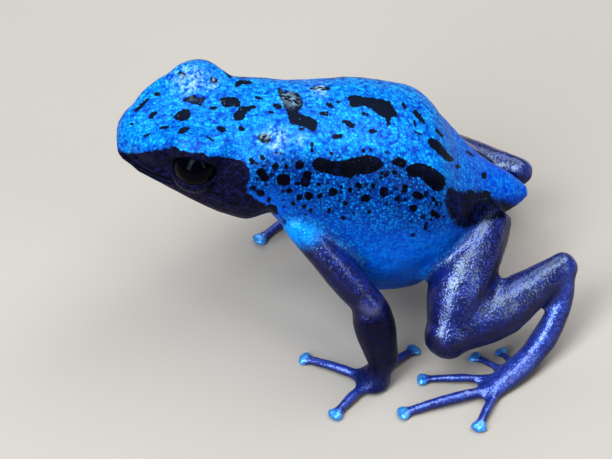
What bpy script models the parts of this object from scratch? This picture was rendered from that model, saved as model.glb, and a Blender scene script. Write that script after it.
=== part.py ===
"""Blue poison dart frog, life size, standing tall on its four feet with the head raised.

The frog faces -X, its left flank is at -Y, and it stands on z = 0. Every size below is in
millimetres and becomes metres where a mesh is made. The flesh is modelled whole, as lofted
forms fused into one skin, and is then parted into named nodes by thin cuts at the joints.
"""

import math

import bmesh
import bpy
import numpy as np
from mathutils import Matrix, Vector
from mathutils.bvhtree import BVHTree

MM = 0.001

# Driving sizes
SNOUT_VENT = 42.0
HEAD_HALF_WIDTH = 0.169 * SNOUT_VENT
BODY_HALF_WIDTH = 0.21 * SNOUT_VENT
EYE_RADIUS = 0.0515 * SNOUT_VENT
EYE_BULGE = 1.17
LID_THICKNESS = 0.34
TOE_RADIUS = 0.0125 * SNOUT_VENT
DISC_HALF_WIDTH = 1.75 * TOE_RADIUS
GAP = 0.3
FACE_STEP = 0.24
CORE_TRIANGLES = 3300
LIMB_TRIANGLES = 1250

# Places of the joints. The vent is over x = 0; LEFT is towards -Y.
SNOUT = Vector((-38.1, 1.75, 23.0))
LEFT, RIGHT = "left", "right"
SIDE_SIGN = {LEFT: -1.0, RIGHT: 1.0}
SHOULDER = {LEFT: Vector((-23.0, -5.6, 17.6)), RIGHT: Vector((-23.2, 5.6, 17.6))}
ELBOW = {LEFT: Vector((-16.7, -10.9, 10.1)), RIGHT: Vector((-18.2, 11.6, 10.1))}
WRIST = {LEFT: Vector((-15.3, -11.7, 2.6)), RIGHT: Vector((-17.1, 12.2, 2.6))}
PALM = {LEFT: Vector((-16.4, -11.8, 0.85)), RIGHT: Vector((-18.6, 12.2, 0.85))}
HIP = {LEFT: Vector((-3.9, -2.3, 11.9)), RIGHT: Vector((-3.9, 2.1, 11.6))}
KNEE = {LEFT: Vector((-9.3, -11.5, 5.5)), RIGHT: Vector((-10.6, 12.9, 6.8))}
HEEL = {LEFT: Vector((2.4, -6.9, 8.2)), RIGHT: Vector((0.75, 6.6, 8.1))}
ANKLE = {LEFT: Vector((-1.0, -11.6, 1.9)), RIGHT: Vector((-1.6, 11.6, 1.9))}
FORK = {LEFT: Vector((-5.6, -14.6, 0.6)), RIGHT: Vector((-6.4, 14.2, 0.6))}


def spline(stations, values, at):
    """Smooth curve through values at the stations, read at the places at, without overshoot."""
    stations = np.asarray(stations, float)
    values = np.asarray(values, float)
    step = np.diff(stations)
    slope = np.diff(values) / step
    tangent = np.zeros(len(stations))
    tangent[0], tangent[-1] = slope[0], slope[-1]
    for i in range(1, len(stations) - 1):
        if slope[i - 1] * slope[i] > 0:
            weight = (2 * step[i] + step[i - 1], step[i] + 2 * step[i - 1])
            tangent[i] = sum(weight) / (weight[0] / slope[i - 1] + weight[1] / slope[i])
    spot = np.clip(np.searchsorted(stations, at) - 1, 0, len(step) - 1)
    t = (np.asarray(at, float) - stations[spot]) / step[spot]
    return (
        (2 * t**3 - 3 * t**2 + 1) * values[spot]
        + (t**3 - 2 * t**2 + t) * step[spot] * tangent[spot]
        + (-2 * t**3 + 3 * t**2) * values[spot + 1]
        + (t**3 - t**2) * step[spot] * tangent[spot + 1]
    )


def section(centre, side, up, half_width, rise, drop, power=2.0, power_down=2.0, sides=28):
    """One closed ring: widest along side at its centre, rise above it and drop below it."""
    ring = []
    for k in range(sides):
        angle = 2 * math.pi * k / sides
        across, height = math.cos(angle), math.sin(angle)
        bend = 2.0 / (power if height >= 0 else power_down)
        x = math.copysign(abs(across) ** bend, across) * half_width
        z = math.copysign(abs(height) ** bend, height) * (rise if height >= 0 else drop)
        ring.append(centre + side * x + up * z)
    return ring


def from_bmesh(name, form):
    """The object that holds a finished bmesh."""
    mesh = bpy.data.meshes.new(name)
    form.to_mesh(mesh)
    form.free()
    made = bpy.data.objects.new(name, mesh)
    bpy.context.scene.collection.objects.link(made)
    return made


def skin_rings(name, rings):
    """A closed mesh object over a run of rings, with each end closed by a fan."""
    form = bmesh.new()
    loops = [[form.verts.new(point * MM) for point in ring] for ring in rings]
    for first, second in zip(loops, loops[1:]):
        for k in range(len(first)):
            after = (k + 1) % len(first)
            form.faces.new((first[k], first[after], second[after], second[k]))
    for loop, flip in ((loops[0], True), (loops[-1], False)):
        middle = form.verts.new(sum((v.co for v in loop), Vector()) / len(loop))
        for k in range(len(loop)):
            pair = (loop[k], loop[(k + 1) % len(loop)])
            form.faces.new((pair[1], pair[0], middle) if flip else (pair[0], pair[1], middle))
    bmesh.ops.recalc_face_normals(form, faces=form.faces[:])
    return from_bmesh(name, form)


def smooth_route(points, count):
    """Points spaced along a smooth curve through the given ones, and its directions there."""
    points = [Vector(p) for p in points]
    run = np.concatenate([[0.0], np.cumsum([(b - a).length for a, b in zip(points, points[1:])])])
    at = np.linspace(0, run[-1], count)
    ends = [points[0] * 2 - points[1], *points, points[-1] * 2 - points[-2]]
    route = []
    for place in at:
        i = int(np.clip(np.searchsorted(run, place) - 1, 0, len(points) - 2))
        t = (place - run[i]) / (run[i + 1] - run[i])
        a, b, c, d = ends[i : i + 4]
        bent = 2 * b + (c - a) * t + (2 * a - 5 * b + 4 * c - d) * t**2
        route.append((bent + (3 * b - a - 3 * c + d) * t**3) * 0.5)
    heads = [
        (route[min(i + 1, count - 1)] - route[max(i - 1, 0)]).normalized() for i in range(count)
    ]
    return route, heads, at / run[-1]


def limb(name, points, widths, flat=Vector((0, 0, 1)), count=26, sides=18):
    """A limb along a smooth route. widths lists (share of the length, half width, half depth),
    where depth is measured nearest to the direction flat."""
    route, heads, share = smooth_route(points, count)
    stops = [w[0] for w in widths]
    width = spline(stops, [w[1] for w in widths], share)
    depth = spline(stops, [w[2] for w in widths], share)
    rings = []
    for centre, head, half_width, half_depth in zip(route, heads, width, depth):
        side = head.cross(flat).normalized()
        up = side.cross(head).normalized()
        rings.append(section(centre, side, up, half_width, half_depth, half_depth, sides=sides))
    return skin_rings(name, rings)


def ball(name, centre, radii, turn=Matrix.Identity(3), rings=16):
    """An ellipsoid of the given radii about its own turned axes."""
    form = bmesh.new()
    bmesh.ops.create_uvsphere(form, u_segments=2 * rings, v_segments=rings, radius=1.0)
    place = Matrix.Translation(centre * MM) @ turn.to_4x4() @ Matrix.Diagonal((*(Vector(radii) * MM), 1))
    bmesh.ops.transform(form, matrix=place, verts=form.verts[:])
    return from_bmesh(name, form)


# Head. Its own axes run back from the snout, to the frog's left and up.
NECK_POINT = Vector((-24.6, 0.0, 21.9))
HEAD_BACK = (NECK_POINT - SNOUT).normalized()
HEAD_LEFT = Vector((0, 0, 1)).cross(-HEAD_BACK).normalized()
HEAD_UP = HEAD_LEFT.cross(HEAD_BACK).normalized()
# Along the head: distance back from the snout, width at the mouth line as a share of the
# head's, and the heights of the mouth line, the crown and the throat
HEAD_RINGS = (
    (0.0, 0.17, -0.6, 0.6, -1.2),
    (0.45, 0.295, -0.7, 1.35, -1.6),
    (1.3, 0.42, -0.8, 1.95, -2.05),
    (2.8, 0.575, -0.95, 2.45, -2.75),
    (5.0, 0.73, -1.05, 2.95, -3.85),
    (7.5, 0.86, -1.15, 3.3, -5.1),
    (10.0, 0.96, -1.1, 3.5, -6.3),
    (12.5, 1.0, -0.8, 3.6, -7.1),
    (15.0, 0.945, -0.4, 3.5, -7.0),
    (17.5, 0.79, 0.0, 3.0, -5.8),
)
MOUTH_LENGTH = 11.2
EYE_BACK, EYE_OUT, EYE_UP = 7.2, 4.75, 1.05
EYE_AXIS = (-0.22, 0.93, 0.3)


def head_point(back, left, up):
    """A place on the head from its distance back from the snout, to the left and up."""
    return SNOUT + HEAD_BACK * back + HEAD_LEFT * left + HEAD_UP * up


def head_direction(back, left, up):
    return (HEAD_BACK * back + HEAD_LEFT * left + HEAD_UP * up).normalized()


def head_profile(back):
    """Half width and the heights of the mouth line, crown and throat at a place on the head."""
    stops = [r[0] for r in HEAD_RINGS]
    share, *heights = (float(spline(stops, [r[k] for r in HEAD_RINGS], [back])[0]) for k in (1, 2, 3, 4))
    return share * HEAD_HALF_WIDTH, *heights


def mouth_route(rise, sink, count=41):
    """Points on the line of the mouth, from one jaw corner round the snout to the other."""
    points = []
    for share in np.linspace(-1, 1, count):
        back = MOUTH_LENGTH * abs(share) ** 1.6
        half, mouth, _, _ = head_profile(back)
        half = half - sink if back > 0.8 else half
        left = math.copysign(half, share) if abs(share) > 0.04 else 0.0
        points.append(head_point(back + sink * (back < 2), left, mouth + rise))
    return points


def head_forms():
    at = np.concatenate([np.linspace(0, 2.8, 10)[:-1], np.linspace(2.8, HEAD_RINGS[-1][0], 20)])
    rings = []
    for back in at:
        half, mouth, crown, throat = head_profile(back)
        centre = head_point(back, 0, mouth)
        rings.append(
            section(centre, HEAD_LEFT, HEAD_UP, half, crown - mouth, mouth - throat, 2.7, 2.3)
        )
    forms = [skin_rings("head_form", rings)]
    turn = Matrix((HEAD_BACK, HEAD_LEFT, HEAD_UP)).transposed()
    for sign in (1, -1):
        centre = head_point(EYE_BACK + 0.1, sign * (EYE_OUT - 0.6), EYE_UP - 0.2)
        radii = (EYE_RADIUS + 1.3, EYE_RADIUS + 0.3, EYE_RADIUS + 0.3)
        forms.append(ball("orbit_form", centre, radii, turn))
        forms.append(eye_ball("lid_form", sign, GAP + LID_THICKNESS))
        forms.append(
            limb(
                "canthus_form",
                (
                    head_point(1.5, sign * 1.9, 0.2),
                    head_point(3.6, sign * 3.5, 1.3),
                    head_point(EYE_BACK, sign * 4.3, 1.9),
                ),
                ((0, 0.9, 0.9), (0.5, 1.5, 1.4), (1, 1.9, 1.9)),
                sides=12,
            )
        )
    for rise in (0.36, -0.36):
        route = mouth_route(rise, 0.2)
        forms.append(limb("lip_form", route, ((0, 0.34, 0.34), (1, 0.34, 0.34)), count=60, sides=8))
    return forms


def eye_centre(sign):
    return head_point(EYE_BACK, sign * EYE_OUT, EYE_UP)


def eye_direction(sign):
    return head_direction(EYE_AXIS[0], sign * EYE_AXIS[1], EYE_AXIS[2])


def ring_form(name, centre, axis, radius, tube, around=32, sides=10, stretch=1.0):
    """A round roll of the radius tube along a circle about the axis."""
    first = axis.orthogonal().normalized()
    second = axis.cross(first).normalized()
    form = bmesh.new()
    loops = []
    for i in range(around):
        angle = 2 * math.pi * i / around
        out = first * math.cos(angle) + second * math.sin(angle)
        loop = []
        for k in range(sides):
            turn = 2 * math.pi * k / sides
            place = centre + out * (radius + tube * math.cos(turn))
            loop.append(form.verts.new((place + axis * tube * stretch * math.sin(turn)) * MM))
        loops.append(loop)
    for i in range(around):
        here, there = loops[i], loops[(i + 1) % around]
        for k in range(sides):
            after = (k + 1) % sides
            form.faces.new((here[k], here[after], there[after], there[k]))
    bmesh.ops.recalc_face_normals(form, faces=form.faces[:])
    return from_bmesh(name, form)


def eye_turn(sign):
    """The eye's own axes: along the head, up, and out of the head."""
    out = eye_direction(sign)
    up = (HEAD_UP - out * HEAD_UP.dot(out)).normalized()
    return Matrix((up.cross(out), up, out)).transposed()


def eye_ball(name, sign, grown=0.0, rings=12):
    radii = (EYE_RADIUS + grown, EYE_RADIUS + grown, EYE_RADIUS * EYE_BULGE + grown)
    return ball(name, eye_centre(sign), radii, eye_turn(sign), rings)


def lid_opening(sign):
    """The pointed oval between the lids, as a cone out of the middle of the eye."""
    turn, centre = eye_turn(sign), eye_centre(sign)
    rings = []
    for reach in (0.15, 1.0):
        ring = []
        for k in range(24):
            angle = 2 * math.pi * k / 24
            up = 1.2 if math.sin(angle) > 0 else 1.15
            oval = Vector((2.5 * math.cos(angle), up * math.sin(angle), 2.0))
            ring.append(centre + turn @ (oval * reach * 1.9))
        rings.append(ring)
    return skin_rings("lid_opening", rings)


# Trunk. Along its axis: x, height, width as a share of the body's, rise to the back, drop to
# the belly
TRUNK_RINGS = (
    (0.1, 11.8, 0.06, 0.4, 0.6),
    (-0.7, 12.0, 0.135, 0.8, 1.5),
    (-2.4, 12.5, 0.235, 1.65, 3.2),
    (-5.0, 13.1, 0.42, 2.85, 7.8),
    (-9.0, 14.4, 0.88, 5.0, 11.8),
    (-13.0, 16.1, 1.0, 7.6, 12.7),
    (-17.0, 17.4, 0.975, 7.8, 11.6),
    (-21.0, 19.1, 0.86, 7.0, 8.2),
    (-24.5, 20.7, 0.75, 5.8, 6.6),
    (-28.5, 22.0, 0.635, 4.2, 5.0),
)


def trunk_form():
    run = [-r[0] for r in TRUNK_RINGS]
    at = np.linspace(run[0], run[-1], 34)
    height, share, rise, drop = (
        spline(run, [r[k] for r in TRUNK_RINGS], at) for k in (1, 2, 3, 4)
    )
    half = share * BODY_HALF_WIDTH
    rings = []
    for i in range(len(at)):
        before, after = max(i - 1, 0), min(i + 1, len(at) - 1)
        head = Vector((at[before] - at[after], 0, height[after] - height[before])).normalized()
        side = Vector((0, -1, 0))
        up = side.cross(head).normalized()
        if up.z < 0:
            up = -up
        centre = Vector((-at[i], 0, height[i]))
        rings.append(section(centre, side, up, half[i], rise[i], drop[i], 2.15, 2.2, 36))
    return skin_rings("trunk_form", rings)


# Digits: base and tip on the ground plan, thickness against a toe, and how far from the base
# the digit is parted from the hand or foot
FINGERS = {
    LEFT: (
        ((-15.5, -10.9), (-11.7, -8.2), 0.9, 0.8),
        ((-16.1, -10.6), (-15.5, -6.4), 0.9, 0.8),
        ((-17.3, -11.3), (-22.5, -7.9), 1.0, 0.8),
        ((-17.3, -12.5), (-20.6, -15.5), 1.0, 0.8),
    ),
    RIGHT: (
        ((-17.7, 11.3), (-13.9, 8.6), 0.9, 0.8),
        ((-18.7, 11.1), (-19.4, 6.8), 0.9, 0.8),
        ((-19.5, 11.7), (-24.7, 8.3), 1.0, 0.8),
        ((-19.5, 12.9), (-22.9, 15.9), 1.0, 0.8),
    ),
}
TOES = {
    LEFT: (
        ((-2.9, -12.3), (-3.7, -9.6), 0.8, 1.2),
        ((-3.7, -12.9), (-6.4, -9.9), 0.85, 1.3),
        ((-4.9, -13.4), (-11.9, -12.1), 0.9, 1.5),
        ((-5.6, -14.6), (-14.4, -16.1), 1.12, 1.6),
        ((-5.2, -15.0), (-7.6, -18.9), 1.0, 1.3),
    ),
    RIGHT: (
        ((-3.6, 12.1), (-4.4, 9.4), 0.8, 1.2),
        ((-4.4, 12.6), (-7.1, 9.7), 0.85, 1.3),
        ((-5.7, 13.0), (-12.7, 11.9), 0.9, 1.5),
        ((-6.4, 14.2), (-15.2, 15.7), 1.12, 1.6),
        ((-6.0, 14.6), (-8.4, 18.5), 1.0, 1.3),
    ),
}


def digit_route(digit, lift=0.5):
    base, tip = Vector((*digit[0], 0.72)), Vector((*digit[1], 0.36))
    middle = base.lerp(tip, 0.5) + Vector((0, 0, lift * 0.4))
    return base, middle, tip


def digit_forms(digit):
    """A finger or toe with its disc, which is wider than long."""
    base, middle, tip = digit_route(digit)
    thick = TOE_RADIUS * digit[2]
    back = base + (base - tip).normalized() * 0.9
    shaft = limb(
        "digit_form",
        (back, base, middle, tip),
        (
            (0, 1.25 * thick, 1.15 * thick),
            (0.25, 1.05 * thick, thick),
            (0.6, 0.95 * thick, 0.92 * thick),
            (1, 0.85 * thick, 0.75 * thick),
        ),
        count=20,
        sides=12,
    )
    head = (tip - middle).normalized()
    across = Vector((0, 0, 1)).cross(head).normalized()
    turn = Matrix((head, across, head.cross(across))).transposed()
    radii = (0.62, DISC_HALF_WIDTH * digit[2] ** 0.5, 0.44)
    return [shaft, ball("disc_form", tip - head * 0.2, radii, turn, 12)]


def arm_forms(side):
    shoulder, elbow, wrist, palm = SHOULDER[side], ELBOW[side], WRIST[side], PALM[side]
    out = Vector((0, SIDE_SIGN[side], 0))
    root = shoulder + (shoulder - elbow).normalized() * 2.2 - out * 1.6
    upper = limb(
        "upper_arm_form",
        (root, shoulder, shoulder.lerp(elbow, 0.5) + out * 0.8 + Vector((0, 0, 0.2)), elbow),
        ((0, 1.9, 1.9), (0.25, 1.8, 1.8), (0.55, 1.55, 1.6), (0.85, 1.65, 1.65), (1, 1.4, 1.4)),
    )
    lower = limb(
        "forearm_form",
        (elbow + (elbow - wrist).normalized() * 0.9, elbow.lerp(wrist, 0.5), wrist),
        ((0, 1.4, 1.4), (0.2, 1.85, 1.85), (0.45, 2.0, 1.95), (0.8, 1.7, 1.6), (1, 1.5, 1.4)),
        flat=Vector((-1, 0, 0.2)),
    )
    flat_turn = (palm - wrist).normalized()
    hand = limb(
        "hand_form",
        (wrist + Vector((0, 0, 0.5)), wrist.lerp(palm, 0.6) - Vector((0, 0, 0.25)), palm),
        ((0, 1.4, 1.3), (0.5, 1.5, 1.15), (1, 1.45, 0.85)),
        flat=Vector((flat_turn.x, flat_turn.y, 1.2)),
    )
    pad = ball("palm_form", Vector((palm.x, palm.y, 0.75)), (1.75, 1.75, 0.95))
    forms = [upper, lower, hand, pad]
    for digit in FINGERS[side]:
        forms += digit_forms(digit)
    return forms


def leg_forms(side):
    hip, knee, heel, ankle, fork = HIP[side], KNEE[side], HEEL[side], ANKLE[side], FORK[side]
    out = Vector((0, SIDE_SIGN[side], 0))
    thigh = limb(
        "thigh_form",
        (hip, hip.lerp(knee, 0.5) + out * 0.8 + Vector((-0.7, 0, 0.6)), knee),
        ((0, 2.3, 2.4), (0.3, 2.85, 2.8), (0.6, 3.05, 2.8), (0.88, 2.5, 2.4), (1, 1.9, 1.9)),
    )
    shank = limb(
        "shank_form",
        (knee, knee.lerp(heel, 0.45) + out * 0.4 - Vector((0, 0, 0.25)), heel),
        ((0, 1.9, 1.9), (0.15, 2.3, 2.3), (0.4, 2.6, 2.55), (0.75, 2.0, 1.95), (1, 1.4, 1.4)),
    )
    tarsus = limb(
        "tarsus_form",
        (heel, tarsus_middle(side), ankle, fork),
        ((0, 1.25, 1.25), (0.3, 1.15, 1.2), (0.55, 1.3, 1.25), (0.8, 1.3, 1.0), (1, 1.1, 0.8)),
    )
    knee_cap = ball("knee_form", knee, (2.3, 2.3, 2.3))
    heel_cap = ball("heel_form", heel, (1.5, 1.5, 1.5))
    forms = [thigh, shank, tarsus, knee_cap, heel_cap]
    for digit in TOES[side]:
        forms += digit_forms(digit)
    return forms


# Places where two forms run into each other and the skin is drawn smooth: place, reach, passes
def creases():
    spots = [
        (head_point(15.5, 0, 0), 7.5, 60),
        (head_point(5.0, 0, 2.5), 3.5, 8),
        (head_point(4.0, 3.4, 0.6), 2.6, 14),
        (head_point(4.0, -3.4, 0.6), 2.6, 14),
    ]
    for side in (LEFT, RIGHT):
        thigh, shank = (KNEE[side] - HIP[side]).normalized(), (HEEL[side] - KNEE[side]).normalized()
        spots += [
            (ELBOW[side], 2.6, 14),
            (WRIST[side], 2.0, 12),
            (KNEE[side] + (shank - thigh) * 0.8, 3.0, 10),
            (HEEL[side], 2.2, 14),
            (ANKLE[side], 2.0, 10),
        ]
    return spots


def linked_pairs(mesh):
    pairs = np.empty(len(mesh.edges) * 2, np.int64)
    mesh.edges.foreach_get("vertices", pairs)
    return pairs.reshape(-1, 2)


def relaxed(points, pairs, weight, amount, ridge_count):
    """Each point moved by the amount towards the middle of its neighbours."""
    total = np.zeros_like(points)
    np.add.at(total, pairs[:, 0], points[pairs[:, 1]])
    np.add.at(total, pairs[:, 1], points[pairs[:, 0]])
    return points + (total / ridge_count[:, None] - points) * (amount * weight)[:, None]


def smooth_skin(mesh):
    """Takes out the steps of the fused mesh, then draws the creases smooth."""
    points = np.empty(len(mesh.vertices) * 3)
    mesh.vertices.foreach_get("co", points)
    points = points.reshape(-1, 3)
    pairs = linked_pairs(mesh)
    neighbours = np.bincount(pairs.ravel(), minlength=len(points)).astype(float)
    even = np.ones(len(points))
    for _ in range(6):
        points = relaxed(points, pairs, even, 0.5, neighbours)
        points = relaxed(points, pairs, even, -0.52, neighbours)
    for place, reach, passes in creases():
        far = np.linalg.norm(points - np.array(place) * MM, axis=1) / (reach * MM)
        weight = np.clip(1 - far**2, 0, 1)
        for _ in range(passes):
            points = relaxed(points, pairs, weight, 0.6, neighbours)
    mesh.vertices.foreach_set("co", points.ravel())
    mesh.update()


def applied(obj):
    """The object with its modifiers made part of its mesh."""
    graph = bpy.context.evaluated_depsgraph_get()
    mesh = bpy.data.meshes.new_from_object(obj.evaluated_get(graph))
    obj.modifiers.clear()
    obj.data = mesh
    return obj


def fused(forms, name, triangles):
    """One closed skin over all the forms, which overlap."""
    whole = bmesh.new()
    for form in forms:
        whole.from_mesh(form.data)
        bpy.data.objects.remove(form)
    body = from_bmesh(name, whole)
    remesh = body.modifiers.new("fuse", "REMESH")
    remesh.mode = "VOXEL"
    remesh.voxel_size = FACE_STEP * MM
    applied(body)
    smooth_skin(body.data)
    thin = body.modifiers.new("thin", "DECIMATE")
    thin.use_collapse_triangulate = True
    thin.ratio = triangles / (2 * len(body.data.polygons))
    applied(body)
    return body


def stand_flat(body):
    """Cuts the soles level at the ground."""
    form = bmesh.new()
    form.from_mesh(body.data)
    bmesh.ops.bisect_plane(
        form,
        geom=form.verts[:] + form.edges[:] + form.faces[:],
        dist=1e-7,
        plane_co=(0, 0, 0),
        plane_no=(0, 0, 1),
        clear_inner=True,
    )
    rim = [edge for edge in form.edges if edge.is_boundary]
    bmesh.ops.holes_fill(form, edges=rim, sides=0)
    bmesh.ops.triangulate(form, faces=form.faces[:])
    bmesh.ops.recalc_face_normals(form, faces=form.faces[:])
    form.to_mesh(body.data)
    form.free()


def plate(centre, normal, along, reach, width, back=None):
    """A thin cutter: reach along one way and back the other, and width to each side."""
    normal = normal.normalized()
    along = (along - normal * along.dot(normal)).normalized()
    across = normal.cross(along)
    back = reach if back is None else back
    rings = []
    for height in (-GAP / 2, GAP / 2):
        ring = []
        for k in range(24):
            angle = 2 * math.pi * k / 24
            place = centre + normal * height + across * width * math.sin(angle)
            ring.append(place + along * (reach if math.cos(angle) > 0 else back) * math.cos(angle))
        rings.append(ring)
    return skin_rings("plate", rings)


def bend_plate(before, joint, after, thick, outer, width):
    """A cutter through a bent joint, in the plane that halves the bend. It reaches in to where
    the two limbs, each this thick from its middle line, have run clear of each other."""
    come, go = (joint - before).normalized(), (after - joint).normalized()
    half_bend = (math.pi - come.angle(go)) / 2
    return plate(joint, come + go, go - come, thick / math.sin(half_bend) + 0.7, width, outer)


def tarsus_middle(side):
    return HEEL[side].lerp(ANKLE[side], 0.5) + Vector((1.0, 0, 0))


def neck_plate():
    axis = HEAD_BACK + Vector((0.95, 0, -0.3))
    return plate(head_point(12.6, 0, -1.0), axis, Vector((0, 1, 0)), 9.5, 9.5)


def digit_plates(digits):
    plates = []
    for digit in digits:
        base, _, tip = digit_route(digit)
        ahead = (tip - base).normalized()
        size = 1.5 * TOE_RADIUS * digit[2]
        plates.append(plate(base + ahead * digit[3], ahead, Vector((0, 0, 1)), 1.3, size))
    return plates


def arm_plates(side):
    shoulder, elbow, wrist, palm = SHOULDER[side], ELBOW[side], WRIST[side], PALM[side]
    across = Vector((0, 1, 0))
    return [
        bend_plate(shoulder, elbow, wrist, 2.0, 2.8, 2.6),
        plate(wrist - Vector((0, 0, 0.2)), (wrist - elbow) + (palm - wrist), across, 2.1, 2.1),
        *digit_plates(FINGERS[side]),
    ]


def leg_plates(side):
    hip, knee, heel, ankle, fork = HIP[side], KNEE[side], HEEL[side], ANKLE[side], FORK[side]
    sole = (ankle - heel).normalized() + (fork - ankle).normalized()
    return [
        bend_plate(hip, knee, heel, 2.75, 3.4, 3.4),
        bend_plate(knee, heel, tarsus_middle(side), 1.9, 2.3, 2.3),
        plate(ankle, sole, Vector((0, 1, 0)), 1.9, 1.9),
        *digit_plates(TOES[side]),
    ]


def face_cutters(surface):
    """What is taken out of the head: the eye sockets, the line of the mouth, nostrils, ears."""
    cutters = []
    for sign in (1, -1):
        cutters += [eye_ball("socket", sign, GAP, 12), lid_opening(sign)]
        place, out, _, _ = surface.find_nearest(head_point(1.5, sign * 2.6, 0.55) * MM)
        cutters.append(ball("nostril", place / MM, (0.34, 0.34, 0.34), rings=8))
        place, out, _, _ = surface.find_nearest(head_point(11.0, sign * 8.0, -0.2) * MM)
        cutters.append(ring_form("ear", place / MM, out, 1.15, 0.15, 24, 6))
    route = []
    for point in mouth_route(0.0, 0.0, 61):
        place, out, _, _ = surface.find_nearest(point * MM)
        route.append(place / MM - out * 0.02)
    mouth = ((0, 0.06, 0.12), (0.04, 0.12, 0.2), (0.96, 0.12, 0.2), (1, 0.06, 0.12))
    across = HEAD_LEFT
    cutters.append(limb("mouth", route, mouth, flat=across, count=48, sides=6))
    return cutters


def core_labels():
    return {"head": head_point(9, 0, 0), "torso": Vector((-14, 0, 16))}


def digit_labels(kind, side, digits):
    found = {}
    for number, digit in enumerate(digits, 1):
        base, _, tip = digit_route(digit)
        found[f"{kind}_{number}_{side}"] = base.lerp(tip, 0.7)
    return found


def arm_labels(side):
    shoulder, elbow, wrist, palm = SHOULDER[side], ELBOW[side], WRIST[side], PALM[side]
    return {
        f"upper_arm_{side}": shoulder.lerp(elbow, 0.65),
        f"forearm_{side}": elbow.lerp(wrist, 0.5),
        f"hand_{side}": palm,
        **digit_labels("finger", side, FINGERS[side]),
    }


def leg_labels(side):
    hip, knee, heel, ankle, fork = HIP[side], KNEE[side], HEEL[side], ANKLE[side], FORK[side]
    return {
        f"thigh_{side}": hip.lerp(knee, 0.65),
        f"shank_{side}": knee.lerp(heel, 0.5),
        f"tarsus_{side}": tarsus_middle(side),
        f"foot_{side}": ankle.lerp(fork, 0.5),
        **digit_labels("toe", side, TOES[side]),
    }


def parts_of(body):
    """The separate closed pieces of a mesh, each as its points and its faces."""
    mesh = body.data
    points = np.empty(len(mesh.vertices) * 3)
    mesh.vertices.foreach_get("co", points)
    points = points.reshape(-1, 3)
    group = np.arange(len(points))
    pairs = linked_pairs(mesh)
    while True:
        lower = np.minimum(group[pairs[:, 0]], group[pairs[:, 1]])
        before = group.copy()
        np.minimum.at(group, pairs[:, 0], lower)
        np.minimum.at(group, pairs[:, 1], lower)
        group = group[group]
        if (group == before).all():
            break
    faces = [tuple(face.vertices) for face in mesh.polygons]
    pieces = {}
    for face in faces:
        pieces.setdefault(group[face[0]], []).append(face)
    return [(points, piece) for piece in pieces.values()]


def named_parts(body, labels):
    """One object for each label, a place inside a node, from the piece that is nearest to it."""
    pieces = []
    for points, faces in parts_of(body):
        used, index = np.unique(np.concatenate([np.array(face) for face in faces]), return_inverse=True)
        index = index.reshape(-1)
        corners, start = [], 0
        for face in faces:
            corners.append(tuple(int(i) for i in index[start : start + len(face)]))
            start += len(face)
        pieces.append((points[used], corners))
    made = []
    for name, place in labels.items():
        spot = np.array(place) * MM
        near = [
            np.linalg.norm(points - spot, axis=1).min() + (1.0 if len(points) < 60 else 0.0)
            for points, _ in pieces
        ]
        points, corners = pieces[int(np.argmin(near))]
        mesh = bpy.data.meshes.new(name)
        mesh.from_pydata([tuple(p) for p in points], [], corners)
        made.append(bpy.data.objects.new(name, mesh))
        bpy.context.scene.collection.objects.link(made[-1])
    bpy.data.objects.remove(body)
    return made


def cut(body, cutters):
    """Takes the cutters out of the body."""
    group = bpy.data.collections.new("cutters")
    for cutter in cutters:
        bpy.context.scene.collection.objects.unlink(cutter)
        group.objects.link(cutter)
    bpy.context.scene.collection.children.link(group)
    boolean = body.modifiers.new("cut", "BOOLEAN")
    boolean.operation = "DIFFERENCE"
    boolean.solver = "EXACT"
    boolean.operand_type = "COLLECTION"
    boolean.collection = group
    applied(body)
    for cutter in cutters:
        bpy.data.objects.remove(cutter)
    bpy.data.collections.remove(group)


def surface_of(body):
    mesh = body.data
    corners = [v.co.copy() for v in mesh.vertices]
    return BVHTree.FromPolygons(corners, [tuple(face.vertices) for face in mesh.polygons])


COLOURS = {
    "head": (0.01, 0.22, 0.78),
    "torso": (0.008, 0.19, 0.72),
    "eye": (0.004, 0.004, 0.006),
    "upper_arm": (0.02, 0.035, 0.3),
    "thigh": (0.02, 0.03, 0.25),
    "shank": (0.02, 0.03, 0.25),
    "digit": (0.03, 0.07, 0.45),
}


def paint(obj):
    kind = obj.name.split("_left")[0].split("_right")[0]
    digit = kind.split("_")[0] in ("finger", "toe", "hand", "foot", "tarsus", "forearm")
    colour = COLOURS.get(kind, COLOURS["digit" if digit else "torso"])
    material = bpy.data.materials.new(f"{obj.name}_skin" if kind != "eye" else f"{obj.name}_ball")
    material.use_nodes = True
    shader = material.node_tree.nodes["Principled BSDF"]
    shader.inputs["Base Color"].default_value = (*colour, 1)
    shader.inputs["Roughness"].default_value = 0.1 if kind == "eye" else 0.4
    material.diffuse_color = (*colour, 1)
    obj.data.materials.clear()
    obj.data.materials.append(material)


def grown(body, distance):
    """A copy of the body with its surface moved outwards."""
    form = bmesh.new()
    form.from_mesh(body.data)
    form.normal_update()
    for vert in form.verts:
        vert.co += vert.normal * distance * MM
    return from_bmesh("grown", form)


def origin_shift(nodes):
    """What brings the middle of the frog's box over the origin."""
    points = np.concatenate([[tuple(v.co) for v in node.data.vertices] for node in nodes])
    low, high = points.min(axis=0), points.max(axis=0)
    return Vector((-(low[0] + high[0]) / 2, -(low[1] + high[1]) / 2, -low[2]))


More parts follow.
